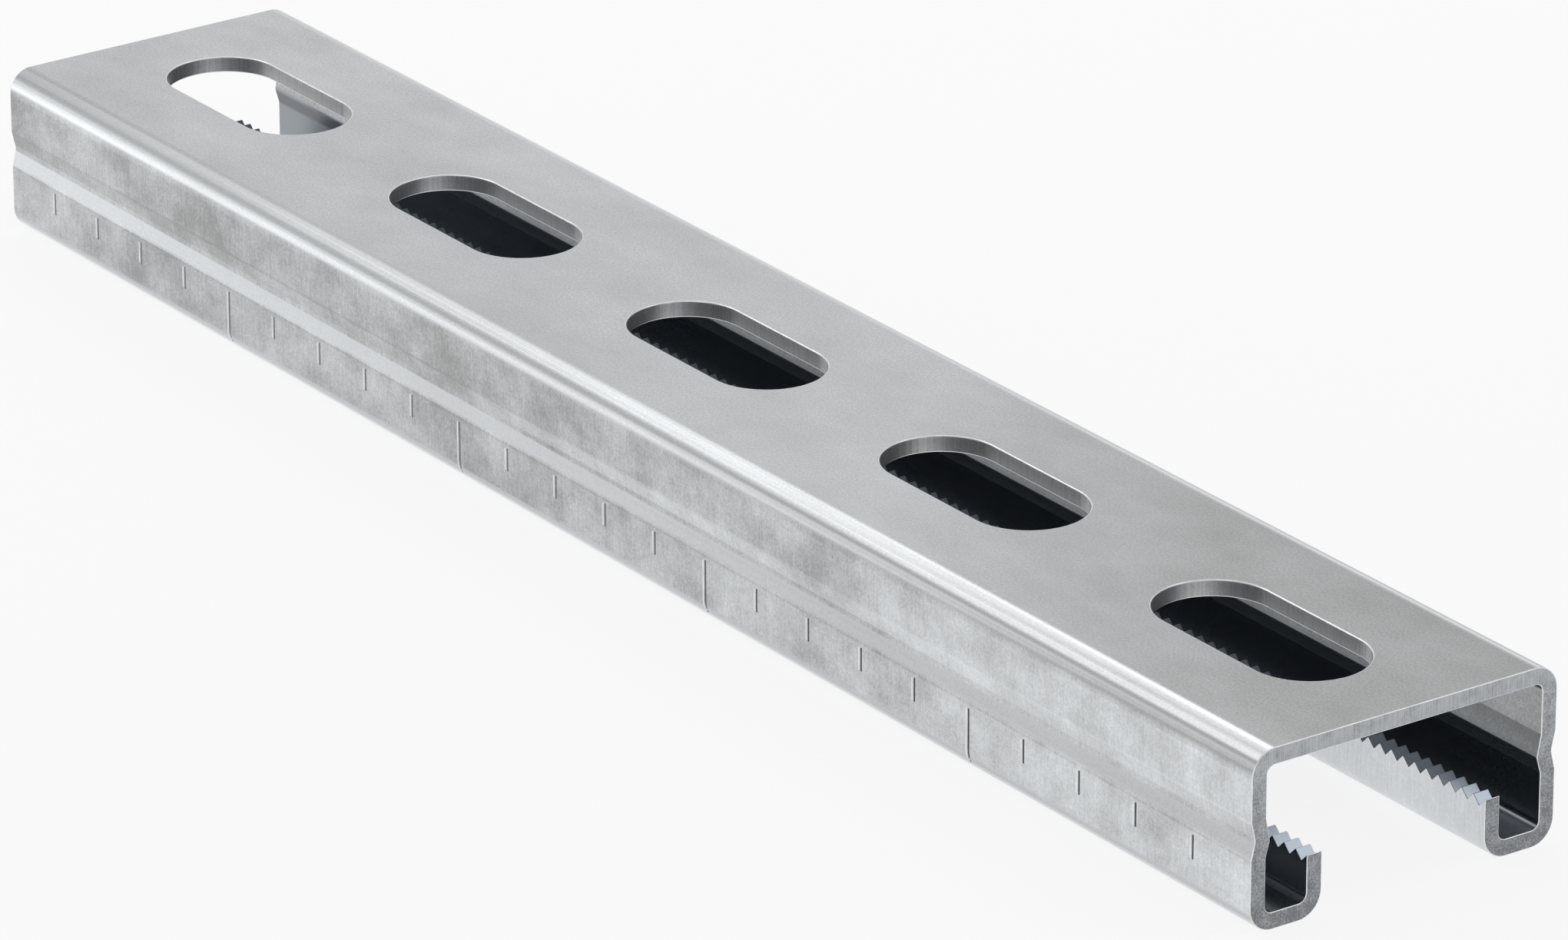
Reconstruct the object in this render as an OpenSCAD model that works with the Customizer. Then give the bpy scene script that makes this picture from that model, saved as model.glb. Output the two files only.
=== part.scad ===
// A cut length of slotted strut channel, lying with its back up and its mouth down.
// X runs along the channel, Y across it and Z up. The origin is at the middle of the
// footprint, on the surface that the lip bends rest on.

/* [Channel] */
// Length of the cut piece
length = 250; // [150:50:600]
// Width over the two side walls
width = 41; // [38:0.5:50]
// Height from the lip bends to the back
height = 21; // [20:0.5:41]
// Thickness of the sheet
sheet = 2; // [1.5:0.25:2.25]
// Inside radius of every bend
bend_r = 1; // [0.5:0.25:1.5]

/* [Lips] */
// Clear opening between the two lips
mouth = 22; // [18:0.5:24]
// Height of the lips, up to the tips of their teeth
lip_height = 7.4; // [6:0.2:9]
// Distance from one tooth to the next
tooth_pitch = 2; // [1:0.25:3]
// Angle between the two flanks of a tooth
tooth_angle = 90; // [80:5:120]

/* [Side grooves] */
// Height of the grooves' deepest line
groove_z = 10.8; // [10.5:0.1:12]
// Height of a groove, from shoulder to shoulder
groove_span = 4.6; // [4:0.1:5.5]
// How far a groove is pressed into its wall
groove_depth = 0.5; // [0.3:0.1:0.8]
// Radius at the bottom of a groove
groove_root_r = 1.5; // [1:0.5:4]
// Radius on the ridge that a groove raises inside
ridge_tip_r = 1; // [0.5:0.25:2]
// How far a ridge's highest line lies below its groove's deepest one
ridge_drop = 0.4; // [0:0.1:0.8]

/* [Slots] */
// Length of a slot, end to end
slot_length = 30; // [20:1:40]
// Width of a slot
slot_width = 14; // [10:0.5:17]
// Distance from one slot to the next
slot_pitch = 50; // [45:5:60]
// Least steel left between a slot and a cut end
end_web = 5; // [3:1:15]

/* [Scale marks] */
// Distance from one mark to the next
mark_pitch = 10; // [5:5:10]
// Every long mark comes after this many steps
long_every = 5; // [2:1:10]
// Width of the marks
mark_width = 0.45; // [0.3:0.05:0.8]
// Depth of the marks
mark_depth = 0.2; // [0.1:0.05:0.3]
// Height of the marks' upper ends
mark_top = 8; // [7:0.1:8.1]
// Height of the short marks' lower ends
short_mark_end = 5.2; // [4:0.1:6]
// Height at which the long marks run out, on the bend
long_mark_end = 1.8; // [1.4:0.1:3]

/* [Hidden] */
$fn = 64;
steel = "silver";
cut = 1;  // how far a cutting shape runs past what it cuts
outer_r = bend_r + sheet;
half_width = width / 2;
inner_width = half_width - sheet;
half_mouth = mouth / 2;
trough_start = half_mouth + sheet;
trough_middle = (half_mouth + half_width) / 2;
tooth_height = tooth_pitch / 2 / tan(tooth_angle / 2);
tooth_count = ceil(length / tooth_pitch);
slot_count = floor((length - slot_length - 2 * end_web) / slot_pitch) + 1;
mark_count = ceil(length / mark_pitch) - 1;

// A rectangle whose four corners are rounded by true arcs
module rounded_box(low, high, r) {
    translate([low[0] + r, low[1]]) square([high[0] - low[0] - 2 * r, high[1] - low[1]]);
    translate([low[0], low[1] + r]) square([high[0] - low[0], high[1] - low[1] - 2 * r]);
    for (y = [low[0] + r, high[0] - r], z = [low[1] + r, high[1] - r])
        translate([y, z]) circle(r);
}

// Its child, and the child's mirror image on the other side of the channel
module both_sides() {
    children();
    mirror([1, 0]) children();
}

// The shallow V that the groove presses into a face of the wall, at Y = face. Its two
// straight flanks run from the shoulders to where they touch the round tip, whose middle
// lies lower than the shoulders' by drop.
module pressed_v(face, tip_r, drop) {
    half_span = groove_span / 2;
    centre = face - groove_depth + tip_r;
    function flank_end(rise) =
        let (slope = asin(tip_r / norm([centre - face, rise])) - atan2(centre - face, rise))
        [centre - tip_r * cos(slope), tip_r * sin(slope)];
    upper = flank_end(half_span + drop);
    lower = flank_end(half_span - drop);
    translate([0, groove_z]) {
        translate([centre, -drop]) circle(tip_r);
        polygon([
            [face + cut, half_span], [face, half_span], [upper[0], upper[1] - drop],
            [lower[0], -lower[1] - drop], [face, -half_span], [face + cut, -half_span]
        ]);
    }
}

// The rolled section: two box shapes joined by the back. The boxes' inner walls are cut
// off a little above the lips, and the teeth take them down to their height.
module section() {
    difference() {
        union() {
            translate([-trough_middle, height - sheet]) square([2 * trough_middle, sheet]);
            both_sides() rounded_box([half_mouth, 0], [half_width, height], outer_r);
        }
        both_sides() pressed_v(half_width, groove_root_r, 0);
        both_sides() difference() {
            rounded_box([trough_start, sheet], [inner_width, height - sheet], bend_r);
            pressed_v(inner_width, ridge_tip_r, ridge_drop);
        }
        translate([-trough_middle, lip_height + cut])
            square([2 * trough_middle, height - sheet - lip_height - cut]);
    }
}

// What is cut off above the teeth, seen from the side. A tip falls on the +X cut end.
module above_teeth() {
    valley = lip_height - tooth_height;
    start = (length + tooth_pitch) / 2;
    zigzag = [for (i = [0 : 2 * tooth_count + 2])
        [start - i * tooth_pitch / 2, i % 2 == 0 ? valley : lip_height]];
    polygon(concat(
        [[start - (tooth_count + 1) * tooth_pitch, lip_height + 2 * cut],
            [start, lip_height + 2 * cut]],
        zigzag
    ));
}

// One slot, seen from above
module slot() {
    straight = slot_length - slot_width;
    translate([-straight / 2, -slot_width / 2]) square([straight, slot_width]);
    for (end = [-1, 1]) translate([end * straight / 2, 0]) circle(d = slot_width);
}

// One mark's outline in the plane of the section: all that lies outside the wall and
// its bend by less than the mark's depth, between its two ends
module mark(low_end) {
    difference() {
        translate([-half_width - cut, low_end]) square([cut + outer_r, mark_top - low_end]);
        rounded_box([mark_depth - half_width, mark_depth],
            [half_width - mark_depth, height - mark_depth], outer_r - mark_depth);
    }
}

// Its child, drawn in the plane of the section, as a bar of length l centred on X = x
module bar(x, l) {
    translate([x - l / 2, 0, 0]) rotate([90, 0, 90]) linear_extrude(l) children();
}

module channel() {
    color(steel) difference() {
        bar(0, length) section();
        rotate([90, 0, 0]) linear_extrude(2 * (trough_start + cut), center = true) above_teeth();
        for (i = [0 : slot_count - 1])
            translate([(i - (slot_count - 1) / 2) * slot_pitch, 0, height - sheet - cut])
                linear_extrude(sheet + 2 * cut) slot();
        for (i = [1 : mark_count])
            bar(length / 2 - i * mark_pitch, mark_width)
                mark(i % long_every == 0 ? long_mark_end : short_mark_end);
    }
}

channel();
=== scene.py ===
"""A cut length of slotted strut channel in zinc-coated steel, lying back up in a pale studio.

The channel is one closed surface worked out with numpy. Its rolled section is carried
along the length in bands, each with only the X places that its detail needs: teeth on the
lips, scale marks on one wall, a field round each slot. Flat strips of triangles join them.
"""
import math

import bpy
import numpy as np
from bpy.props import FloatProperty, FloatVectorProperty, IntProperty, PointerProperty
from mathutils import Matrix, Vector


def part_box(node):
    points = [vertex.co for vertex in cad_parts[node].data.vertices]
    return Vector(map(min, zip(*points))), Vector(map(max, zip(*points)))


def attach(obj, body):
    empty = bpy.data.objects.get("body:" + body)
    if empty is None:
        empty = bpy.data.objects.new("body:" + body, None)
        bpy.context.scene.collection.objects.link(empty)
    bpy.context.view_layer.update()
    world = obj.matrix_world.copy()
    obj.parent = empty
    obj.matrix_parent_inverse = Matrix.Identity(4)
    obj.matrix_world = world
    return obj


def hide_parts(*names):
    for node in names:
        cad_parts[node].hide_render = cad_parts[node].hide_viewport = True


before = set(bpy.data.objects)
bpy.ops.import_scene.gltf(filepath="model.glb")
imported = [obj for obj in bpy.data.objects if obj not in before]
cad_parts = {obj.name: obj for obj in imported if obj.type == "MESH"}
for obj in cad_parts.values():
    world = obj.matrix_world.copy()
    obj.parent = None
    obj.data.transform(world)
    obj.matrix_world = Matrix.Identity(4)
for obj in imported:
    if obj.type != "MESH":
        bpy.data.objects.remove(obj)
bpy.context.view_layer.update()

bl_info = {
    "name": "Strut Channel",
    "version": (1, 0, 0),
    "blender": (4, 5, 0),
    "location": "3D View > Sidebar > Channel",
    "description": "A slotted strut channel with toothed lips, its zinc-coated finish and its studio",
    "category": "Add Mesh",
}

MM = 0.001
LOW, HIGH = (Vector(corner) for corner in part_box("channel"))
# The places of the finishes in the channel's list of materials; RIM carries a painted highlight and MARK
# painted shade
SKIN, CUT, PUNCHED, RIM, MARK = range(5)
BEND_STEPS = 12
# From a tooth's tip to the next valley, as 0 to 1: where its flank starts and where it ends
FLANK_START, FLANK_END = 0.05, 0.96
# In widths of a scale mark, from its middle: where its floor ends, its flank bends and its rim lies
MARK_STEPS = (0.25, 0.42, 0.5)


def length_property(name, description, default):
    """A length setting in metres, with its default given in millimetres."""
    return FloatProperty(
        name=name, description=description, default=default * MM, unit="LENGTH", precision=5,
    )


def colour_property(name, description, default):
    """A colour setting."""
    return FloatVectorProperty(
        name=name, description=description, default=default, subtype="COLOR", min=0, max=1,
    )


class ChannelSizes(bpy.types.PropertyGroup):
    length: length_property("Length", "Length of the cut piece", (HIGH.x - LOW.x) / MM)
    width: length_property("Width", "Width over the side walls", (HIGH.y - LOW.y) / MM)
    height: length_property("Height", "Height from the lip bends to the back", (HIGH.z - LOW.z) / MM)
    sheet: length_property("Sheet", "Thickness of the sheet", 2)
    bend_radius: length_property("Bend Radius", "Inside radius of every bend", 1)
    mouth: length_property("Mouth", "Clear opening between the lips", 22)
    lip_height: length_property("Lip Height", "Height of the lips, to the tips of their teeth", 7.4)
    tooth_pitch: length_property("Tooth Pitch", "Distance from one tooth to the next", 2)
    tooth_height: length_property("Tooth Height", "Height of a tooth", 1)
    tooth_chamfer: length_property("Tooth Chamfer", "Worn edge along the sides of the teeth", 0.05)
    groove_height: length_property("Groove Height", "Height of the grooves' deepest line", 10.8)
    groove_span: length_property("Groove Span", "Height of a groove between its shoulders", 4.6)
    groove_depth: length_property("Groove Depth", "How far a groove is pressed in", 0.5)
    groove_root: length_property("Groove Root", "Radius at the bottom of a groove", 1.5)
    ridge_tip: length_property("Ridge Tip", "Radius of the ridge that a groove raises inside", 1)
    ridge_drop: length_property("Ridge Drop", "How far a ridge lies below its groove's deepest line", 0.4)
    slot_length: length_property("Slot Length", "Length of a slot, end to end", 30)
    slot_width: length_property("Slot Width", "Width of a slot", 14)
    slot_pitch: length_property("Slot Pitch", "Distance from one slot to the next", 50)
    slot_count: IntProperty(name="Slots", description="Number of slots", default=5, min=1)
    slot_rim: length_property("Slot Rim", "Rounding of the slots' two rims", 0.14)
    end_rim: length_property("End Rim", "Rounding of the cut ends' edges", 0.1)
    mark_pitch: length_property("Mark Pitch", "Distance from one scale mark to the next", 10)
    long_every: IntProperty(
        name="Long Every", description="Steps from one long mark to the next", default=5, min=1,
    )
    mark_width: length_property("Mark Width", "Width of the scale marks", 0.45)
    mark_depth: length_property("Mark Depth", "Depth of the scale marks", 0.2)
    mark_top: length_property("Mark Top", "Height of the marks' upper ends", 8)
    short_mark_end: length_property("Short Mark End", "Height of the short marks' lower ends", 5.2)
    long_mark_end: length_property("Long Mark End", "Height at which the long marks run out", 1.8)


class SteelFinish(bpy.types.PropertyGroup):
    # The skin runs between these two tones: painted reflections take it toward the brightest and painted
    # shade toward the darkest, with random clouds and speckle between them.
    zinc: colour_property("Zinc", "Colour of the zinc skin at its brightest", (0.79, 0.82, 0.845))
    zinc_dull_and_shaded: colour_property("Dull Zinc", "Colour of the zinc skin at its dullest", (0.34, 0.34, 0.34))
    # Painted shade: the darker skin down in the troughs stands in for the shade there.
    trough_shade: colour_property("Trough Zinc", "Colour of the skin in the troughs", (0.31, 0.335, 0.365))
    sawn: colour_property("Sawn Steel", "Colour of the sawn ends", (0.385, 0.40, 0.415))
    punched: colour_property("Punched Steel", "Colour of the slots' walls", (0.41, 0.415, 0.425))
    teeth: colour_property("Teeth", "Colour of the teeth's flanks", (0.43, 0.485, 0.55))
    # Painted highlight: the bright colour of the rims, the lines beside the scale marks and the lower
    # bends.
    edge_highlight: colour_property("Burnished Edge", "Colour of the bright rims", (0.85, 0.86, 0.87))
    # Painted shade: the dark colour of the scale marks' bottoms and the teeth's outlines.
    mark_shade: colour_property("Stamped Mark", "Colour at the bottom of the scale marks", (0.12, 0.12, 0.125))


class StudioSetup(bpy.types.PropertyGroup):
    place: FloatVectorProperty(
        name="Place", description="Where the camera stands", subtype="TRANSLATION",
        default=(0.862846, -0.600263, 0.445602),
    )
    azimuth: FloatProperty(
        name="Azimuth", description="Turn of the view about Z, from +Y towards -X",
        subtype="ANGLE", default=math.radians(54.818),
    )
    elevation: FloatProperty(
        name="Elevation", description="How far the camera looks down",
        subtype="ANGLE", default=math.radians(22.724),
    )
    roll: FloatProperty(
        name="Roll", description="Turn of the camera about its line of sight",
        subtype="ANGLE", default=math.radians(-0.116),
    )
    lens: FloatProperty(
        name="Lens", description="Focal length on a sensor 36 mm wide",
        subtype="DISTANCE_CAMERA", default=226.828,
    )
    floor_size: length_property("Floor Size", "Width of the square floor", 6000)
    shadow_share: FloatProperty(
        name="Shadow Share", description="How much of the white floor takes light and shadow",
        subtype="FACTOR", default=0.15, min=0, max=1,
    )
    room_level: FloatProperty(
        name="Room Level", description="Strength of the room's soft light on the floor",
        default=0.6, min=0,
    )


def arc(centre, radius, start, end, count):
    """Points on a circle at equal steps of angle from start to end, in degrees, both kept."""
    angle = np.radians(np.linspace(start, end, count + 1))
    return np.stack([centre[0] + radius * np.cos(angle), centre[1] + radius * np.sin(angle)], axis=1)


def ease(value):
    """The smooth step 3v^2 - 2v^3 of values held between 0 and 1."""
    held = np.clip(value, 0, 1)
    return held * held * (3 - 2 * held)


def even_places(low, high, steps):
    """Evenly spaced places from low to high, rounded so that neighbours share their ends."""
    return np.round(np.linspace(low, high, steps + 1), 8)


def grid_quads(rows, columns, closed=False):
    """The four corners of each quad of a grid, as places in its rows of points.

    Closed joins the last column to the first.
    """
    index = np.arange(rows * columns).reshape(rows, columns)
    if closed:
        index = np.hstack([index, index[:, :1]])
    return np.stack([index[:-1, :-1], index[1:, :-1], index[1:, 1:], index[:-1, 1:]], axis=-1)


def pressed_line(face, tip_radius, drop, sizes):
    """The groove's line across the wall face at Y = face, from above it to below it.

    A circle of the tip's radius touches the deepest line, which lies lower than the middle
    between the shoulders by drop. Each straight flank runs from its shoulder to where it is
    tangent to that circle. A point close to each side of a shoulder keeps its bend narrow.
    """
    half_span = sizes.groove_span / 2
    centre = face - sizes.groove_depth + tip_radius
    sides = np.array([1, -1])
    rise = half_span + drop * sides
    slope = np.arcsin(tip_radius / np.hypot(centre - face, rise)) - np.arctan2(centre - face, rise)
    start, end = 180 - np.degrees(slope) * sides
    tip = arc((centre, -drop), tip_radius, start, end, 6)
    near = 0.15 * MM
    level = sides * half_span
    flank = np.column_stack([face - near * np.sin(slope), level - near * sides * np.cos(slope)])
    upper = [(face, level[0] + near), (face, level[0]), flank[0]]
    lower = [flank[1], (face, level[1]), (face, level[1] - near)]
    return np.vstack([upper, tip, lower]) + (0, sizes.groove_height)


def bent_band(sizes, offset):
    """One face of the +Y side, from where the back meets its bend to where the lip's bend ends.

    Offset is 0 for the sheet's outer face and its thickness for the inner one. Both faces
    have the same number of points, since each bend's two arcs share their centre.
    """
    face = sizes.width / 2 - offset
    outer_radius = sizes.bend_radius + sizes.sheet
    radius = outer_radius - offset
    side = sizes.width / 2 - outer_radius
    soft = 0.05 * MM
    mark_ends = [
        sizes.mark_top, sizes.mark_top - 2 * soft,
        sizes.short_mark_end + soft, sizes.short_mark_end - soft,
    ]
    tip_radius, drop = (sizes.ridge_tip, sizes.ridge_drop) if offset else (sizes.groove_root, 0)
    return np.vstack([
        arc((side, sizes.height - outer_radius), radius, 90, 0, BEND_STEPS),
        pressed_line(face, tip_radius, drop, sizes),
        [(face, height) for height in mark_ends],
        arc((side, outer_radius), radius, 0, -90, BEND_STEPS),
        arc((sizes.mouth / 2 + outer_radius, outer_radius), radius, -90, -180, BEND_STEPS),
    ])


def tooth_line(sizes, x):
    """Height of the lips at each X: a zigzag, level for a hair's width at tips and valleys."""
    turn = (sizes.length / 2 - x) / sizes.tooth_pitch
    from_tip = np.abs(turn - np.round(turn)) * 2
    return sizes.lip_height - sizes.tooth_height * np.clip(from_tip, FLANK_START, FLANK_END)


def lip_lines(sizes, offset, x):
    """The top of a +Y lip's face at every X, in the order root, side, tip.

    Root is a straight line below the teeth, side and tip bound the teeth's worn edge.
    """
    inward = -1 if offset else 1
    face = sizes.mouth / 2 + offset
    root_depth = 1.2 * sizes.tooth_height
    top = tooth_line(sizes, x)
    lines = np.empty((len(x), 3, 2))
    lines[..., 0] = (face, face, face + inward * sizes.tooth_chamfer)
    lines[:, 0, 1] = sizes.lip_height - root_depth
    lines[:, 1, 1] = top - sizes.tooth_chamfer
    lines[:, 2, 1] = top
    return lines


def mark_depths(sizes, x, z):
    """Depth of the scale marks at every X and Z, as a grid.

    Across a mark it is a level floor between two flanks that run out in a softer slope. Each
    end rises by the smooth step.
    """
    step = np.round((sizes.length / 2 - x) / sizes.mark_pitch)
    inside = (step > 0) & (step < math.ceil(sizes.length / sizes.mark_pitch - 0.001))
    from_middle = np.abs(sizes.length / 2 - x - step * sizes.mark_pitch) / sizes.mark_width
    across = inside * np.interp(from_middle, MARK_STEPS, (1, 0.4, 0))
    end = np.where(step % sizes.long_every == 0, sizes.long_mark_end, sizes.short_mark_end)
    soft = 0.1 * MM
    along = ease((z[None, :] - end[:, None]) / soft + 0.5) * ease((sizes.mark_top - z[None, :]) / soft)
    return sizes.mark_depth * across[:, None] * along


def tooth_places(sizes, reach):
    """X places along the lips: two at each tooth's tip and two in each valley."""
    count = math.ceil(sizes.length / sizes.tooth_pitch)
    tips = sizes.length / 2 - np.arange(count + 1) * sizes.tooth_pitch
    half = sizes.tooth_pitch / 2
    shares = np.array([-FLANK_END, -FLANK_START, FLANK_START, FLANK_END])
    places = (tips[:, None] + shares * half).ravel()
    least_step = 0.02 * MM
    places = places[np.abs(places) < reach - least_step]
    return np.unique(np.round(np.concatenate([places, [-reach, reach]]), 8))


def mark_places(sizes, reach):
    """X places along the marked wall: six across each scale mark, one beside it, and the two ends."""
    count = math.ceil(sizes.length / sizes.mark_pitch - 0.001)
    marks = sizes.length / 2 - np.arange(1, count) * sizes.mark_pitch
    # The place beside each mark bounds the quad that gets the painted highlight.
    highlight_side, steps = -1.1, np.array(MARK_STEPS)
    across = sizes.mark_width * np.concatenate([[highlight_side], -steps[::-1], steps])
    return np.unique(np.round(np.concatenate([(marks[:, None] + across).ravel(), [-reach, reach]]), 8))


def outward_normals(loop):
    """Unit normals of a closed clockwise outline: each point's two neighbours, joined and turned left."""
    along = np.roll(loop, -1, axis=0) - np.roll(loop, 1, axis=0)
    normal = np.stack([-along[:, 1], along[:, 0]], axis=1)
    return normal / np.linalg.norm(normal, axis=1, keepdims=True)


class Patchwork:
    """Collects patches of surface and joins them into one closed mesh."""

    def __init__(self):
        self.points, self.faces, self.finish, self.count = [], {3: [], 4: []}, {3: [], 4: []}, 0

    def add(self, points, faces, finish, turned=False):
        """Keep a patch. Its faces index its own points, and turned reverses the side they look to."""
        corners = faces.shape[-1]
        faces = faces.reshape(-1, corners) + self.count
        self.points.append(points.reshape(-1, 3))
        self.faces[corners].append(faces[:, ::-1] if turned else faces)
        self.finish[corners].append(np.broadcast_to(finish, len(faces)).astype(np.int32))
        self.count += len(self.points[-1])

    def grid(self, x, lines, finish, turned=False, closed=False):
        """A patch over rows at each X and columns along the section's lines, given as (Y, Z).

        The columns run clockwise round the section, seen from +X, and closed joins the
        last to the first. Finish is one material, or one for each quad.
        """
        lines = np.broadcast_to(lines, (len(x),) + lines.shape[-2:])
        points = np.concatenate([np.broadcast_to(x[:, None, None], lines.shape[:2] + (1,)), lines], axis=2)
        quads = grid_quads(*points.shape[:2], closed)
        self.add(points, quads, np.broadcast_to(finish, quads.shape[:2]).ravel(), turned)

    def zip(self, first_x, first_line, second_x, second_line, turned=False):
        """A flat strip between two straight lines that have different X places.

        Each step of either line makes a triangle with the other line's place nearest to
        its middle, counted so that the triangles meet without a gap.
        """
        first = np.column_stack([first_x, np.broadcast_to(first_line, (len(first_x), 2))])
        second = np.column_stack([second_x, np.broadcast_to(second_line, (len(second_x), 2))])
        first_middle = (first_x[:-1] + first_x[1:]) / 2
        second_middle = (second_x[:-1] + second_x[1:]) / 2
        start = np.arange(len(first_middle))
        across = len(first_x) + np.searchsorted(second_middle, first_middle, side="left")
        one = np.stack([start, start + 1, across], axis=1)
        start = np.arange(len(second_middle))
        across = np.searchsorted(first_middle, second_middle, side="right")
        start = start + len(first_x)
        two = np.stack([start + 1, start, across], axis=1)
        self.add(np.vstack([first, second]), np.vstack([one, two]), SKIN, turned)

    def mesh(self, name):
        """The patches as one mesh, with the points that they share merged."""
        points = np.round(np.vstack(self.points), 8) + 0.0
        unique, index = np.unique(points, axis=0, return_inverse=True)
        index = index.reshape(-1)
        faces = [index[np.vstack(self.faces[corners])] for corners in (3, 4)]
        mesh = bpy.data.meshes.new(name)
        mesh.from_pydata(unique, [], faces[0].tolist() + faces[1].tolist())
        mesh.polygons.foreach_set("material_index", np.concatenate(self.finish[3] + self.finish[4]))
        mesh.polygons.foreach_set("use_smooth", np.ones(len(mesh.polygons), dtype=bool))
        mesh.update()
        return mesh


def slot_field(sizes, parts, centre, along, across):
    """The back round one slot, over, through and under the sheet, as rings of quads.

    Each point of the field's rectangle has its partner on the slot's outline: straight
    across along the slot's sides, and at an equal share of the quarter turn beyond them.
    The profile runs from the rectangle to the rim, round it, down the punched wall,
    round the lower rim and back out to the rectangle.
    """
    border = across[-1]
    edge = np.concatenate([
        np.column_stack([along, np.full(len(along), -border)])[:-1],
        np.column_stack([np.full(len(across), along[-1]), across])[:-1],
        np.column_stack([along, np.full(len(along), border)])[:0:-1],
        np.column_stack([np.full(len(across), along[0]), across])[:0:-1],
    ])
    x, y = edge[:, 0] - centre, edge[:, 1]
    straight = (sizes.slot_length - sizes.slot_width) / 2
    reach = np.where(x > 0, along[-1] - centre, centre - along[0])
    beyond = np.clip((np.abs(x) - straight) / (reach - straight), 0, 1)
    angle = np.radians(np.where(np.abs(y) >= border, 90 - 45 * beyond, 45 * np.abs(y) / border))
    normal = np.column_stack([np.sign(x) * np.cos(angle), np.sign(y) * np.sin(angle)])
    outline = np.column_stack([np.clip(x, -straight, straight) + centre, np.zeros(len(x))])
    outline += normal * sizes.slot_width / 2
    turn = np.radians(np.linspace(90, 180, 5))
    upper = sizes.slot_rim * np.column_stack([1 + np.cos(turn), np.sin(turn) - 1])
    profile = np.vstack([upper, upper[::-1] * (1, -1) - (0, sizes.sheet)])
    rings = outline[None] + normal[None] * profile[:, 0, None, None]
    rings = np.concatenate([edge[None], rings, edge[None]])
    height = sizes.height + np.concatenate([[0], profile[:, 1], [-sizes.sheet]])
    points = np.concatenate([rings, np.broadcast_to(height[:, None, None], rings.shape[:2] + (1,))], axis=2)
    turned_over = [0, 3, 2, 1]
    quads = grid_quads(len(rings), len(edge), closed=True)[..., turned_over]
    finish = np.full(quads.shape[:2], SKIN)
    # The rounded rims get the rim finish's painted highlight.
    finish[1:-1] = RIM
    finish[len(upper)] = PUNCHED
    parts.add(points, quads, finish.ravel())


def cut_end(sizes, parts, faces, reach, sign):
    """One sawn end: the whole outline, drawn in by a quarter circle, then closed across the sheet."""
    loop = np.vstack([faces[0], faces[1][::-1]])
    quarter = np.radians([0, 30, 60, 90])
    drawn_in = sizes.end_rim * (1 - np.cos(quarter))
    x = sign * (reach + sizes.end_rim * np.sin(quarter))
    lines = loop - outward_normals(loop) * drawn_in[:, None, None]
    # The rounded edge gets the rim finish's painted highlight.
    parts.grid(x, lines, RIM, turned=sign < 0, closed=True)
    count = len(faces[0])
    outer = np.arange(count)
    inner = 2 * count - 1 - outer
    cap = np.stack([outer[:-1], inner[:-1], inner[1:], outer[1:]], axis=1)
    points = np.column_stack([np.full(len(loop), x[-1]), lines[-1]])
    parts.add(points, cap, CUT, turned=sign < 0)


def marked_wall(sizes, places, wall):
    """The marked wall's outer face: its line pressed in by the marks' depth, and each quad's finish.

    A quad whose corners lie deeper on average than a share of the marks' depth is a mark's bottom,
    in painted shade. The second quad before a mark's first one along X gets a painted highlight.
    """
    bottom_share = 0.45
    depth = mark_depths(sizes, places, wall[:, 1])
    depth[:, wall[:, 0] > -sizes.width / 2 + sizes.sheet] = 0
    run = np.gradient(wall, axis=0)
    normal = np.column_stack([-run[:, 1], run[:, 0]])
    normal /= np.linalg.norm(normal, axis=1, keepdims=True)
    mean = (depth[1:, 1:] + depth[1:, :-1] + depth[:-1, 1:] + depth[:-1, :-1]) / 4
    marked = mean > bottom_share * sizes.mark_depth
    # The quad two before each mark gets the rims' painted highlight, and the mark's bottom painted shade.
    beside = np.roll(marked, -2, axis=0) & ~np.roll(marked, -1, axis=0)
    finish = np.where(marked, MARK, np.where(beside, RIM, SKIN))
    return wall - normal * depth[..., None], finish


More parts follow.
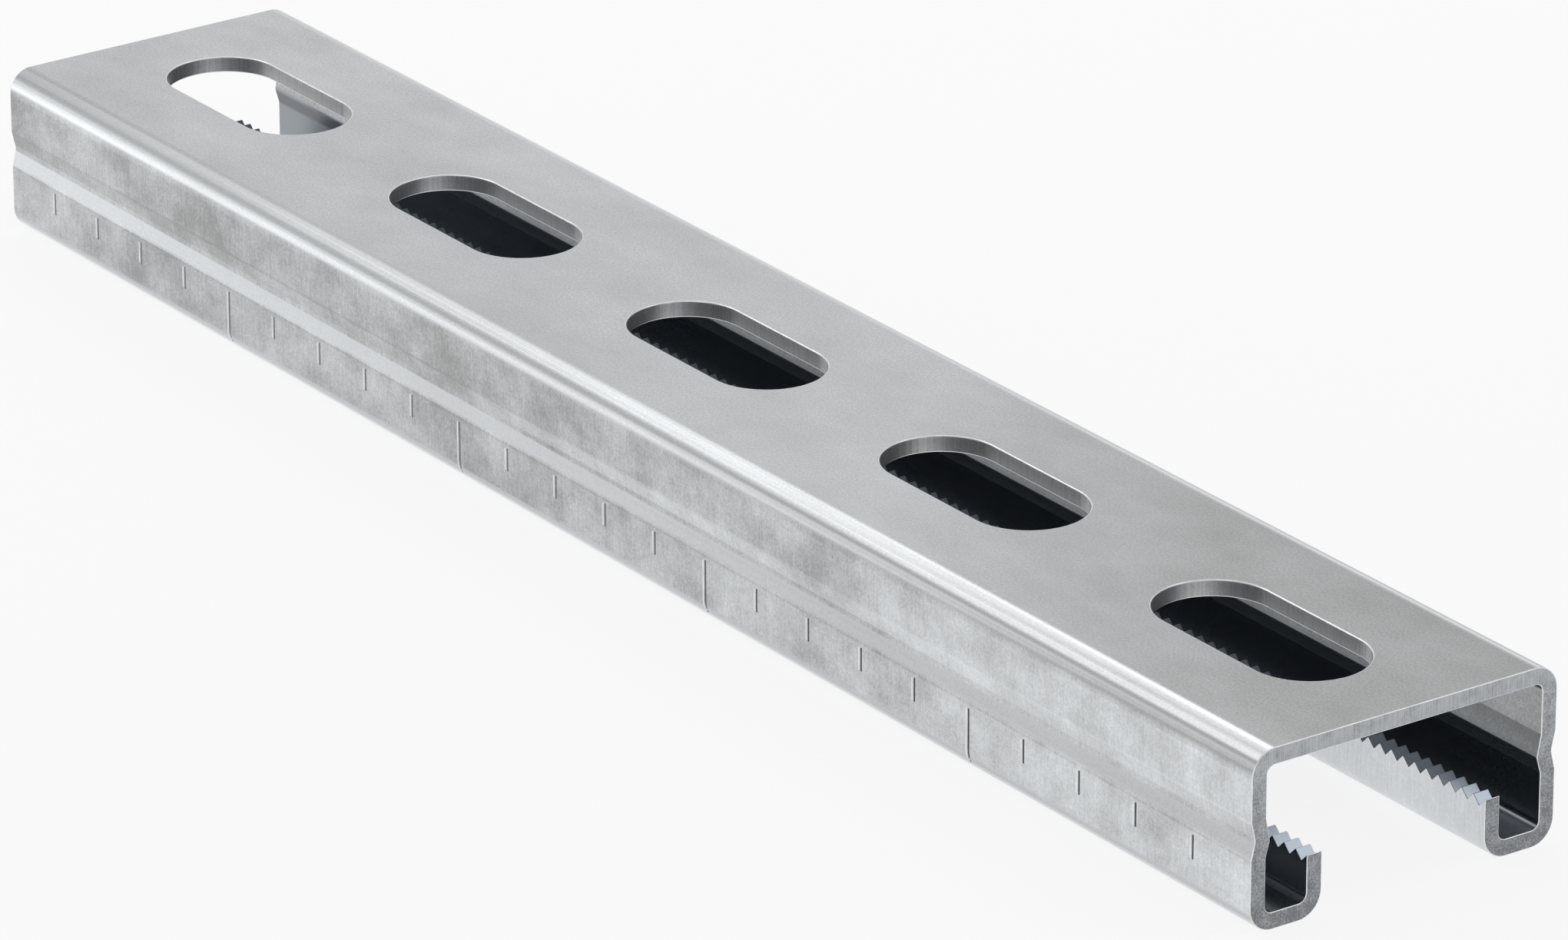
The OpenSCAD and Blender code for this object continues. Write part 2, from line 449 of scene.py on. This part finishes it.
def channel_mesh(sizes):
    """The whole channel as one closed surface, put together band by band.

    Both faces of the sheet are drawn in the same order, from the -Y lip over the back to
    the +Y lip, and the inner face is turned over.
    """
    parts = Patchwork()
    reach = sizes.length / 2 - sizes.end_rim
    teeth = tooth_places(sizes, reach)
    marks = mark_places(sizes, reach)
    plain = even_places(-reach, reach, steps=25)
    centres = (np.arange(sizes.slot_count) - (sizes.slot_count - 1) / 2) * sizes.slot_pitch
    borders = np.concatenate([[-reach], (centres[1:] + centres[:-1]) / 2, [reach]])
    field_side = 12 * MM
    across = even_places(-field_side, field_side, steps=24)
    straight = (sizes.slot_length - sizes.slot_width) / 2
    fields = [
        np.unique(np.concatenate([
            even_places(low, centre - straight, steps=16),
            even_places(centre - straight, centre + straight, steps=8),
            even_places(centre + straight, high, steps=16),
        ]))
        for centre, low, high in zip(centres, borders[:-1], borders[1:])
    ]
    for centre, along in zip(centres, fields):
        slot_field(sizes, parts, centre, along, across)
    slots = np.unique(np.concatenate(fields))
    mirrored = (-1, 1)
    outlines = {1: [], -1: []}
    for offset in (0, sizes.sheet):
        inner = offset > 0
        top = sizes.height - offset
        right = bent_band(sizes, offset)
        left = right[::-1] * mirrored
        left_places = plain if inner else marks
        lip = lip_lines(sizes, offset, teeth)
        left_lip = lip[:, ::-1] * mirrored
        # The teeth's worn edges take the marks' painted shade as a dark outline.
        parts.grid(teeth, left_lip, [MARK, SKIN], inner)
        parts.zip(teeth, left_lip[0, -1], left_places, left[0], inner)
        lines, finish = (left, SKIN) if inner else marked_wall(sizes, marks, left)
        parts.grid(left_places, lines, finish, inner)
        parts.zip(left_places, left[-1], slots, (across[0], top), inner)
        parts.zip(slots, (across[-1], top), plain, right[0], inner)
        parts.grid(plain, right, SKIN, inner)
        parts.zip(plain, right[-1], teeth, lip[0, 0], inner)
        # The teeth's worn edges take the marks' painted shade as a dark outline.
        parts.grid(teeth, lip, [SKIN, MARK], inner)
        middle = np.column_stack([across, np.full(len(across), top)])
        for sign, end in ((1, -1), (-1, 0)):
            outlines[sign].append(np.vstack([left_lip[end], left, middle, right, lip[end]]))
    outer_lip, inner_lip = (lip_lines(sizes, offset, teeth)[:, -1:] for offset in (0, sizes.sheet))
    flanks = np.concatenate([outer_lip, inner_lip], axis=1)
    parts.grid(teeth, flanks, PUNCHED)
    parts.grid(teeth, flanks[:, ::-1] * mirrored, PUNCHED)
    for sign, faces in outlines.items():
        cut_end(sizes, parts, faces, reach, sign)
    return parts.mesh("strut_channel")


class Finish:
    """Builds one metal material. Its x, y and z are the place in millimetres.

    Most methods add nodes and give back their output. The last three set the shader.
    """

    def __init__(self, name, roughness):
        self.material = bpy.data.materials.new(name)
        self.material.use_nodes = True
        self.tree = self.material.node_tree
        self.shader = self.tree.nodes["Principled BSDF"]
        self.shader.inputs["Metallic"].default_value = 1
        self.shader.inputs["Roughness"].default_value = roughness
        self.place = self.add("ShaderNodeTexCoord").outputs["Object"]
        in_mm = self.add("ShaderNodeVectorMath", {0: self.place, "Scale": 1 / MM}, operation="SCALE")
        self.x, self.y, self.z = self.add("ShaderNodeSeparateXYZ", {0: in_mm.outputs[0]}).outputs

    def add(self, kind, inputs=None, **settings):
        """A node with the given settings, and with values or links on its input sockets."""
        node = self.tree.nodes.new(kind)
        for name, value in settings.items():
            setattr(node, name, value)
        for socket, value in (inputs or {}).items():
            if isinstance(value, bpy.types.NodeSocket):
                self.tree.links.new(value, node.inputs[socket])
            else:
                node.inputs[socket].default_value = value
        return node

    def math(self, operation, first, second=0.0):
        """One operation on two values."""
        return self.add("ShaderNodeMath", {0: first, 1: second}, operation=operation).outputs[0]

    def product(self, first, second):
        """Two values multiplied."""
        return self.math("MULTIPLY", first, second)

    def grain(self, size, detail=2.0, roughness=0.5, shift=0.0):
        """Noise from about 0 to 1, whose grains measure size, in millimetres along X, Y and Z."""
        scale = [1 / (length * MM) for length in size]
        mapping = {"Vector": self.place, "Scale": scale, "Location": (shift,) * 3}
        place = self.add("ShaderNodeMapping", mapping).outputs[0]
        noise = {"Vector": place, "Scale": 1.0, "Detail": detail, "Roughness": roughness}
        return self.add("ShaderNodeTexNoise", noise).outputs[0]

    def ramp(self, value, low, high, first=0.0, last=1.0):
        """Value, carried from the range low to high to the range first to last, and held in it."""
        inputs = {"Value": value, "From Min": low, "From Max": high, "To Min": first, "To Max": last}
        return self.add("ShaderNodeMapRange", inputs).outputs[0]

    def band(self, value, low, high, soft):
        """1 where a value lies between low and high, falling to 0 over soft to both sides of each."""
        off = self.math("ABSOLUTE", self.math("SUBTRACT", value, (low + high) / 2))
        return self.ramp(off, (high - low) / 2 + soft, (high - low) / 2 - soft)

    def along(self, mask, low, high, first, last):
        """A mask times a tone that goes from first to last between two places along X."""
        return self.product(mask, self.ramp(self.x, low, high, first, last))

    def amid(self, mask, low, high, soft, tone):
        """A mask times a tone that holds between two places along X and fades out over soft."""
        return self.product(mask, self.product(self.band(self.x, low, high, soft), tone))

    def centred(self, grain, strength):
        """A grain's swing to both sides of nothing, times a strength that may vary."""
        return self.product(self.math("SUBTRACT", grain, 0.5), strength)

    def total(self, *values):
        """The sum of all the values."""
        result = values[0]
        for value in values[1:]:
            result = self.math("ADD", result, value)
        return result

    def between(self, share, first, second):
        """A colour between two, by share."""
        return self.add("ShaderNodeMix", {0: share, 6: first, 7: second}, data_type="RGBA").outputs[2]

    def colour(self, value):
        """Give the shader a colour that varies."""
        self.tree.links.new(value, self.shader.inputs["Base Color"])

    def roughness(self, value):
        """Give the shader a roughness that varies."""
        self.tree.links.new(value, self.shader.inputs["Roughness"])

    def relief(self, height, depth):
        """Give the shader a bump from a height of 0 to 1 that stands for a depth in millimetres."""
        bump = self.add("ShaderNodeBump", {"Height": height, "Distance": depth * MM, "Strength": 1.0})
        self.tree.links.new(bump.outputs[0], self.shader.inputs["Normal"])


def opaque(colour, factor=1.0):
    """A colour setting times a factor, with full alpha."""
    return (*(factor * value for value in colour), 1)


def zinc_skin(finish, sizes):
    """The rolled zinc skin, between its darkest and its brightest tone.

    The bends and the grooves' lower slopes are smoother, with fine streaks along the length,
    and painted reflections make them lighter. The flats of the walls and the grooves' upper
    slopes are clouded and darker by painted shade, most of all toward the far end. Narrow lines
    round the upper bends carry painted reflections and shade whose tones change along the
    length, and the lower bends get a painted highlight. A speckle covers everything, and
    painted shade makes the skin darkest down in the troughs.
    """
    skin = Finish("zinc_skin", 0.25)
    half, top, mouth = sizes.width / 2 / MM, sizes.height / MM, sizes.mouth / 2 / MM
    root, span, tips = sizes.groove_height / MM, sizes.groove_span / 2 / MM, sizes.lip_height / MM
    foot, dip_low, dip_high = root - span, root - 0.3, root + 0.35
    # Most of the masks below place the skin's painted reflections and painted shade.
    side = skin.math("ABSOLUTE", skin.y)
    outside = skin.ramp(side, half - 1.2, half - 0.8)
    flat = skin.ramp(side, half - 0.12, half - 0.04)
    upper, dip, lower, crease = (
        skin.product(outside, skin.band(skin.z, low, high, 0.1)) for low, high in (
            (dip_high, root + span), (dip_low, dip_high), (foot, dip_low), (foot - 0.1, foot + 0.1),
        )
    )
    ledge, brow, skirt, hem = (
        skin.product(outside, skin.band(skin.z, top - low, top - high, soft)) for low, high, soft in (
            (0.95, 0.65, 0.1), (1.25, 0.75, 0.2), (2.5, 1.6, 0.2), (3.0, 2.0, 0.15),
        )
    )
    crest = skin.product(
        skin.band(side, half - 2.75, half - 2.35, 0.15), skin.ramp(skin.z, top - 0.6, top - 0.3),
    )
    shoulder = skin.product(
        skin.ramp(side, half - 2.3, half - 1.9), skin.ramp(skin.z, top - 0.7, top - 0.4),
    )
    back = skin.product(
        skin.ramp(side, half - 2.8, half - 3.2), skin.ramp(skin.z, top - 1.0, top - 0.5),
    )
    inside = skin.product(
        skin.band(side, mouth + 1.5, half - 1.7, 0.2), skin.ramp(skin.z, top - 2.0, top - 2.2),
    )
    lip = skin.product(
        skin.ramp(side, mouth + 0.6, mouth + 0.4), skin.ramp(skin.z, tips + 1.6, tips + 0.6),
    )
    bottom = skin.ramp(skin.z, 1.6, 0.9)
    dull = skin.math("MAXIMUM", skin.math("MAXIMUM", flat, upper), dip)
    wiped = skin.math(
        "SUBTRACT", skin.ramp(side, half - 3.2, half - 2.4), skin.math("MAXIMUM", dull, inside),
    )
    speckle = skin.grain((0.3, 0.3, 0.3), 2.0, 0.6)
    across = skin.grain((0.28, 6.0, 3.5), 2.0, 0.6)
    lengthways = skin.grain((150.0, 0.3, 0.3), 2.0, 0.5)
    clouds = skin.grain((6.0, 6.0, 4.5), 4.0, 0.55, 7.0)
    patches = skin.grain((18.0, 9.0, 16.0), 3.0, 0.55, 3.0)
    # Apart from the grains, each term of share is painted light that changes along X: reflections lighten
    # the flats' far end, the lower slopes, bands round the bends, the lower bends and the lips' mouth
    # faces, and shade darkens the flats' middle, the upper slopes' far part, the groove roots, the crease,
    # the ledge, the back's near end and the inner faces.
    share = skin.total(
        0.46,
        skin.along(flat, -110, -70, 0.12, 0.0),
        skin.along(flat, -10, 110, -0.2, 0.12),
        skin.along(flat, 110, 122, 0.0, 0.1),
        skin.along(upper, -30, 0, -0.2, 0.14),
        skin.amid(dip, -50, 35, 60, -0.2),
        skin.along(lower, -100, 60, 0.3, -0.06),
        skin.product(crease, -0.2),
        skin.along(crest, 0, 60, 0.0, 0.27),
        skin.along(shoulder, 30, 100, 0.0, -0.25),
        skin.amid(ledge, -40, 15, 50, -0.28),
        skin.along(brow, -115, 0, 0.45, 0.0),
        skin.along(skirt, -110, 110, 0.08, -0.24),
        skin.amid(skirt, -20, 40, 60, 0.24),
        skin.along(hem, -110, 110, 0.2, -0.2),
        skin.along(bottom, -60, 60, 0.5, 0.3),
        skin.product(lip, 0.23),
        skin.product(inside, -0.28),
        skin.product(back, skin.ramp(skin.math("ADD", skin.x, skin.y), 35, 90, 0.0, -0.34)),
        skin.centred(speckle, skin.ramp(skin.math("MAXIMUM", wiped, lip), 0, 1, 0.75, 0.35)),
        skin.centred(across, skin.product(skin.math("MAXIMUM", dull, lip), 0.4)),
        skin.centred(lengthways, skin.total(skin.product(wiped, 0.6), skin.product(lower, -0.4))),
        skin.centred(clouds, skin.total(0.2, skin.product(dull, 0.8), skin.product(wiped, -0.15))),
        skin.centred(patches, skin.total(skin.ramp(wiped, 0, 1, 0.45, 0.15), skin.product(dull, 0.25))),
    )
    metal = skin.between(share, opaque(finish.zinc_dull_and_shaded), opaque(finish.zinc))
    # Painted highlight: the outer lower bends blend toward the rims' bright colour, most toward the far
    # end.
    bend_highlight = skin.along(skin.product(outside, bottom), -20, 90, 0.9, 0.2)
    metal = skin.between(bend_highlight, metal, opaque(finish.edge_highlight, 1.06))
    # Painted shade: the inner faces down in the troughs are darkened, darkest below the ridges.
    under = skin.band(skin.z, foot, root - 0.6, 0.2)
    deep_shade = skin.between(under, opaque(finish.trough_shade), opaque(finish.trough_shade, 0.5))
    trough_shade_mask = skin.product(inside, skin.band(skin.z, 1.0, root - 0.2, 0.3))
    skin.colour(skin.between(trough_shade_mask, metal, deep_shade))
    skin.roughness(skin.ramp(share, 0.0, 1.0, 0.31, 0.21))
    skin.relief(speckle, 0.0005)
    return skin.material


def sawn_steel(finish, sizes):
    """The sawn ends: fine upright saw lines on the back's strip, speckled below it, with painted shade that
    darkens them toward the bottom.
    """
    sawn = Finish("sawn_steel", 0.42)
    top = sizes.height / MM
    strip = sawn.ramp(sawn.z, top - 2.5, top - 1.8)
    lines = sawn.grain((1.0, 0.11, 6.0), 2.0, 0.6)
    speckle = sawn.grain((0.25, 0.25, 0.25), 3.0, 0.6)
    clouds = sawn.grain((1.6, 1.6, 1.6), 3.0, 0.6)
    share = sawn.total(
        # Painted shade: the tone falls toward the bottom of the end, and the strip is lighter.
        sawn.ramp(sawn.z, 0, top - 3, 0.15, 0.66),
        sawn.product(strip, 0.2),
        sawn.centred(lines, sawn.ramp(strip, 0, 1, 0.5, 1.9)),
        sawn.centred(speckle, sawn.ramp(strip, 0, 1, 2.4, 0.9)),
        sawn.centred(clouds, 1.3),
    )
    sawn.colour(sawn.between(share, opaque(finish.sawn, 0.5), opaque(finish.sawn, 1.2)))
    sawn.relief(sawn.total(lines, speckle), 0.003)
    return sawn.material


def punched_steel(finish, sizes):
    """The punched steel, with fine lines along the punch's stroke.

    The slots' walls are mottled, and brighter where they tore off below. The teeth's flanks
    are smoother and bluer.
    """
    punched = Finish("punched_steel", 0.42)
    top = sizes.height / MM
    lines = punched.grain((0.25, 0.25, 8.0), 2.0, 0.6)
    speckle = punched.grain((0.25, 0.25, 0.25), 2.0, 0.6)
    torn = punched.ramp(punched.z, top - 0.8, top - 1.4)
    teeth = punched.ramp(punched.z, top - 9, top - 11)
    share = punched.total(
        0.4, punched.product(torn, 0.2), punched.centred(lines, 1.2), punched.centred(speckle, 0.8),
    )
    steel = punched.between(share, opaque(finish.punched, 0.75), opaque(finish.punched, 1.35))
    punched.colour(punched.between(teeth, steel, opaque(finish.teeth)))
    punched.roughness(punched.ramp(teeth, 0, 1, 0.42, 0.32))
    punched.relief(lines, 0.002)
    return punched.material


def edge_highlight_rim(finish):
    """The rims and the lines beside the scale marks: a painted highlight, brighter than the skin, with worn
    spots.
    """
    rim = Finish("edge_highlight_rim", 0.3)
    wear = rim.ramp(rim.grain((1.5, 1.5, 1.5), 3.0, 0.6), 0.3, 0.7)
    rim.colour(rim.between(wear, opaque(finish.edge_highlight, 0.8), opaque(finish.edge_highlight)))
    return rim.material


def painted_mark_shade(finish):
    """The scale marks' bottoms and the teeth's outlines: painted shade, dark and dull, paler toward the far
    end.
    """
    mark = Finish("painted_mark_shade", 0.5)
    worn = mark.ramp(mark.grain((0.6, 0.6, 0.8), 3.0, 0.6), 0.3, 0.8, 0.0, 0.4)
    share = mark.total(mark.ramp(mark.x, -20, 60, 0.6, 0.0), worn)
    mark.colour(mark.between(share, opaque(finish.mark_shade), opaque(finish.mark_shade, 3.0)))
    return mark.material


def new_object(name, data):
    """An object for this data, at the origin, shown in the scene."""
    made = bpy.data.objects.new(name, data)
    bpy.context.scene.collection.objects.link(made)
    return made


class CHANNEL_OT_add_channel(bpy.types.Operator):
    """Add the slotted channel with its toothed lips, grooves, scale marks and finishes"""

    bl_idname = "channel.add_channel"
    bl_label = "Add Channel"

    def execute(self, context):
        sizes, finish = context.scene.channel_sizes, context.scene.steel_finish
        mesh = channel_mesh(sizes)
        for material in (
            zinc_skin(finish, sizes), sawn_steel(finish, sizes), punched_steel(finish, sizes),
            edge_highlight_rim(finish), painted_mark_shade(finish),
        ):
            mesh.materials.append(material)
        mesh.set_sharp_from_angle(angle=math.radians(35))
        channel = new_object("rolled_channel", mesh)
        weighted = channel.modifiers.new("even_shading", "WEIGHTED_NORMAL")
        weighted.keep_sharp = True
        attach(channel, "root")
        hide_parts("channel")
        return {"FINISHED"}


def white_where_seen(tree):
    """1 for rays that show the background: from the camera, or off or through something."""
    path = tree.nodes.new("ShaderNodeLightPath").outputs
    seen = path["Is Camera Ray"]
    for other in ("Is Glossy Ray", "Is Transmission Ray"):
        both = tree.nodes.new("ShaderNodeMath")
        both.operation = "MAXIMUM"
        tree.links.new(seen, both.inputs[0])
        tree.links.new(path[other], both.inputs[1])
        seen = both.outputs[0]
    return seen


def white_floor(studio):
    """The floor's material: white where it is seen, less the share that takes the shadow."""
    material = bpy.data.materials.new("white_floor")
    material.use_nodes = True
    tree = material.node_tree
    tree.nodes.remove(tree.nodes["Principled BSDF"])
    matt = tree.nodes.new("ShaderNodeBsdfDiffuse")
    matt.inputs["Color"].default_value = (0.9, 0.9, 0.9, 1)
    white = tree.nodes.new("ShaderNodeEmission")
    share = tree.nodes.new("ShaderNodeMath")
    share.operation = "MULTIPLY"
    share.inputs[1].default_value = 1 - studio.shadow_share
    tree.links.new(white_where_seen(tree), share.inputs[0])
    mix = tree.nodes.new("ShaderNodeMixShader")
    tree.links.new(share.outputs[0], mix.inputs[0])
    tree.links.new(matt.outputs[0], mix.inputs[1])
    tree.links.new(white.outputs[0], mix.inputs[2])
    tree.links.new(mix.outputs[0], tree.nodes["Material Output"].inputs["Surface"])
    return material


def grey_card(side_level, top_level, side_edge, top_edge):
    """The ceiling's material: grey at its sides and paler at its top, with a soft change in height."""
    material = bpy.data.materials.new("grey_card")
    material.use_nodes = True
    tree = material.node_tree
    tree.nodes.remove(tree.nodes["Principled BSDF"])
    place = tree.nodes.new("ShaderNodeSeparateXYZ")
    tree.links.new(tree.nodes.new("ShaderNodeTexCoord").outputs["Object"], place.inputs[0])
    level = tree.nodes.new("ShaderNodeMapRange")
    ends = {"From Min": side_edge, "From Max": top_edge, "To Min": side_level, "To Max": top_level}
    for name, value in ends.items():
        level.inputs[name].default_value = value
    tree.links.new(place.outputs["Z"], level.inputs["Value"])
    grey = tree.nodes.new("ShaderNodeEmission")
    tree.links.new(level.outputs[0], grey.inputs["Strength"])
    tree.links.new(grey.outputs[0], tree.nodes["Material Output"].inputs["Surface"])
    return material


def ceiling_mesh(radius, low_edge):
    """The cap of a sphere over the origin, from low_edge's elevation to the top, seen from inside."""
    turn = np.linspace(0, 2 * np.pi, 65)[:-1]
    rise = np.linspace(low_edge, np.pi / 2, 13)[:-1]
    rings = radius * np.stack([
        np.cos(rise)[:, None] * np.cos(turn),
        np.cos(rise)[:, None] * np.sin(turn),
        np.broadcast_to(np.sin(rise)[:, None], (len(rise), len(turn))),
    ], axis=2)
    quads = grid_quads(len(rise), len(turn), closed=True)
    last_ring = np.arange(rings[..., 0].size)[-len(turn):]
    top = [last_ring[::-1].tolist()]
    mesh = bpy.data.meshes.new("grey_ceiling")
    mesh.from_pydata(rings.reshape(-1, 3), [], quads.reshape(-1, 4).tolist() + top)
    return mesh


def white_room(studio):
    """The world: white where it is seen, and a softer light on what is matt."""
    world = bpy.data.worlds.new("white_room")
    world.use_nodes = True
    tree = world.node_tree
    soft = tree.nodes["Background"]
    soft.inputs["Color"].default_value = (1, 1, 1, 1)
    soft.inputs["Strength"].default_value = studio.room_level
    white = tree.nodes.new("ShaderNodeBackground")
    white.inputs["Color"].default_value = (1, 1, 1, 1)
    mix = tree.nodes.new("ShaderNodeMixShader")
    tree.links.new(white_where_seen(tree), mix.inputs[0])
    tree.links.new(soft.outputs[0], mix.inputs[1])
    tree.links.new(white.outputs[0], mix.inputs[2])
    tree.links.new(mix.outputs[0], tree.nodes["World Output"].inputs["Surface"])
    return world


def facing(place, target):
    """The matrix of a lamp that stands at place and shines at target."""
    back = (Vector(place) - Vector(target)).normalized()
    return Matrix.Translation(place) @ back.to_track_quat("Z", "Y").to_matrix().to_4x4()


def softbox(name, place, target, width, height, level):
    """A rectangular soft lamp whose face has the brightness level, where 1 is white."""
    lamp = bpy.data.lights.new(name, "AREA")
    lamp.shape = "RECTANGLE"
    lamp.size = width
    lamp.size_y = height
    lamp.energy = level * math.pi * width * height
    made = new_object(name, lamp)
    made.matrix_world = facing(place, target)
    made.visible_camera = False


def main_camera(studio):
    """The camera, set up level for the azimuth and elevation and then rolled about its line of sight."""
    turn, tilt = studio.azimuth, studio.elevation
    back = Vector((math.sin(turn) * math.cos(tilt), -math.cos(turn) * math.cos(tilt), math.sin(tilt)))
    right = Vector((0, 0, 1)).cross(back).normalized()
    up = back.cross(right)
    axes = Matrix((right, up, back)).transposed() @ Matrix.Rotation(studio.roll, 3, "Z")
    lens = bpy.data.cameras.new("camera")
    lens.sensor_fit = "HORIZONTAL"
    lens.sensor_width = 36
    lens.lens = studio.lens
    lens.clip_start = 0.01
    lens.clip_end = 100
    camera = new_object("camera", lens)
    camera.matrix_world = Matrix.Translation(studio.place) @ axes.to_4x4()
    return camera


class CHANNEL_OT_set_stage(bpy.types.Operator):
    """Set the camera, the white floor and the soft lamps round the channel"""

    bl_idname = "channel.set_stage"
    bl_label = "Set Stage"

    def execute(self, context):
        studio = context.scene.studio_setup
        half = studio.floor_size / 2
        floor_mesh = bpy.data.meshes.new("floor")
        floor_gap = 0.02 * MM
        corners = [(x * half, y * half, -floor_gap) for x, y in ((-1, -1), (1, -1), (1, 1), (-1, 1))]
        floor_mesh.from_pydata(corners, [], [(0, 1, 2, 3)])
        floor_mesh.materials.append(white_floor(studio))
        new_object("floor", floor_mesh)
        context.scene.world = white_room(studio)
        ceiling = new_object("grey_ceiling", ceiling_mesh(radius=2.0, low_edge=math.radians(22)))
        ceiling.data.materials.append(
            grey_card(side_level=0.45, top_level=1.0, side_edge=1.78, top_edge=1.92)
        )
        ceiling.visible_camera = False
        for name, place, target, width, height, level in (
            ("overhead_softbox", (-0.68, 0.03, 0.7), (-0.68, 0.03, 0.0), 0.54, 1.42, 1.4),
            ("far_softbox", (-1.0, -0.62, 0.15), (0.0, -0.62, 0.15), 0.5, 0.43, 0.5),
            ("near_softbox", (0.44, 0.48, 0.59), (0.12, 0.0, 0.0), 0.5, 0.5, 0.9),
            ("low_softbox", (-1.0, -0.62, 0.035), (0.0, -0.62, 0.035), 0.36, 0.07, 3.0),
        ):
            softbox(name, place, target, width, height, level)
        context.scene.camera = main_camera(studio)
        context.scene.view_settings.view_transform = "Standard"
        return {"FINISHED"}


class CHANNEL_PT_sidebar(bpy.types.Panel):
    """Buttons and sizes of the channel in the 3D view's sidebar"""

    bl_label = "Strut Channel"
    bl_space_type = "VIEW_3D"
    bl_region_type = "UI"
    bl_category = "Channel"

    def draw(self, context):
        self.layout.operator("channel.add_channel")
        self.layout.operator("channel.set_stage")
        scene = context.scene
        for settings in (scene.channel_sizes, scene.steel_finish, scene.studio_setup):
            column = self.layout.column()
            for name in type(settings).__annotations__:
                column.prop(settings, name)


CLASSES = (
    ChannelSizes, SteelFinish, StudioSetup,
    CHANNEL_OT_add_channel, CHANNEL_OT_set_stage, CHANNEL_PT_sidebar,
)


def register():
    """Register the classes and hang their settings on the scene."""
    for registered in CLASSES:
        bpy.utils.register_class(registered)
    bpy.types.Scene.channel_sizes = PointerProperty(type=ChannelSizes)
    bpy.types.Scene.steel_finish = PointerProperty(type=SteelFinish)
    bpy.types.Scene.studio_setup = PointerProperty(type=StudioSetup)


def unregister():
    """Take the settings off the scene and unregister the classes."""
    del bpy.types.Scene.channel_sizes, bpy.types.Scene.steel_finish, bpy.types.Scene.studio_setup
    for registered in reversed(CLASSES):
        bpy.utils.unregister_class(registered)


def main():
    """Build the channel and its stage."""
    register()
    bpy.ops.channel.add_channel()
    bpy.ops.channel.set_stage()


if __name__ == "__main__":
    main()
